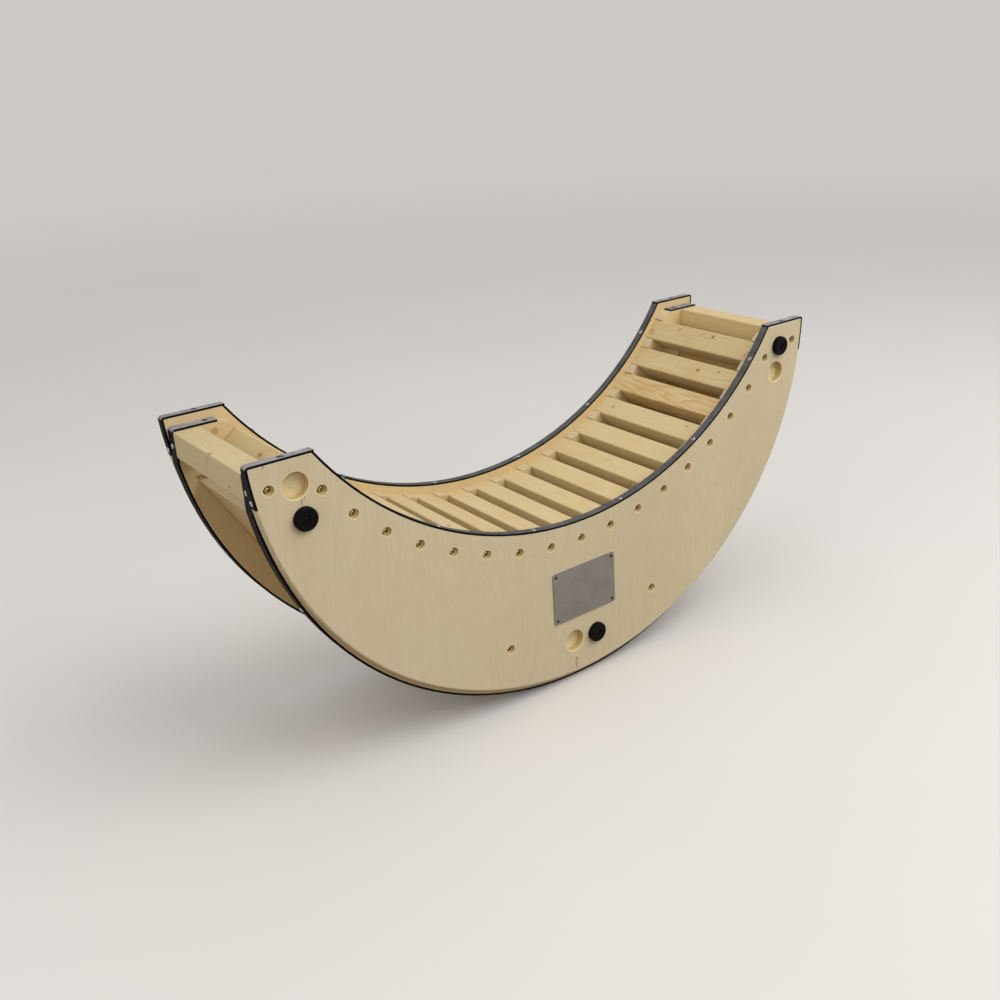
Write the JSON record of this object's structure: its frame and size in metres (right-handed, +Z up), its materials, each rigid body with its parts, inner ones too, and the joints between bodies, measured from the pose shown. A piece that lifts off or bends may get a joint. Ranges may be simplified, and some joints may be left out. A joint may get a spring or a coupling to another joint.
{
  "type": "rocker arch",
  "caption": "Curved seat of wooden slats between crescent plywood side panels that rock on rubber tread strips, with edge strips, bumpers, sockets and a bare plate.",
  "frame": {"origin": "on the floor, under the middle of the arch", "axes": "+X along the arch, +Y from the front panel with the plate to the rear panel, +Z up"},
  "size_m": [1.0154, 0.2944, 0.4942],
  "materials": {
    "birch_ply": "clear satin",
    "pine": "clear satin",
    "edge_rubber": "matt, slightly sheeny",
    "bumper_rubber": "matt",
    "yellow_zinc": "yellow zinc plated",
    "steel": "bright plated",
    "plate_metal": "brushed"
  },
  "bodies": {
    "root": {"front_outer_panel": "birch_ply", "rear_outer_panel": "birch_ply", "front_inner_panel": "birch_ply", "rear_inner_panel": "birch_ply", "left_back_board": "birch_ply", "right_back_board": "birch_ply", "slat_01": "pine", "slat_02": "pine", "slat_03": "pine", "slat_04": "pine", "slat_05": "pine", "slat_06": "pine", "slat_07": "pine", "slat_08": "pine", "slat_09": "pine", "slat_10": "pine", "slat_11": "pine", "slat_12": "pine", "slat_13": "pine", "slat_14": "pine", "slat_15": "pine", "slat_16": "pine", "slat_17": "pine", "left_end_beam": "pine", "right_end_beam": "pine", "left_lower_brace": "pine", "right_lower_brace": "pine", "panel_plugs": "pine", "front_arc_strip": "edge_rubber", "rear_arc_strip": "edge_rubber", "front_tread_strip": "edge_rubber", "rear_tread_strip": "edge_rubber", "front_left_cap_strip": "edge_rubber", "front_right_cap_strip": "edge_rubber", "rear_left_cap_strip": "edge_rubber", "rear_right_cap_strip": "edge_rubber", "front_left_bumper": "bumper_rubber", "front_right_bumper": "bumper_rubber", "front_lower_bumper": "bumper_rubber", "rear_left_bumper": "bumper_rubber", "rear_right_bumper": "bumper_rubber", "rear_lower_bumper": "bumper_rubber", "front_slat_screws": "yellow_zinc", "rear_slat_screws": "yellow_zinc", "front_frame_screws": "yellow_zinc", "rear_frame_screws": "yellow_zinc", "bumper_screws": "steel", "arc_strip_screws": "steel", "cap_strip_screws": "steel", "tread_strip_screws": "steel", "plate_pins": "steel", "name_plate": "plate_metal"}
  },
  "joints": []
}
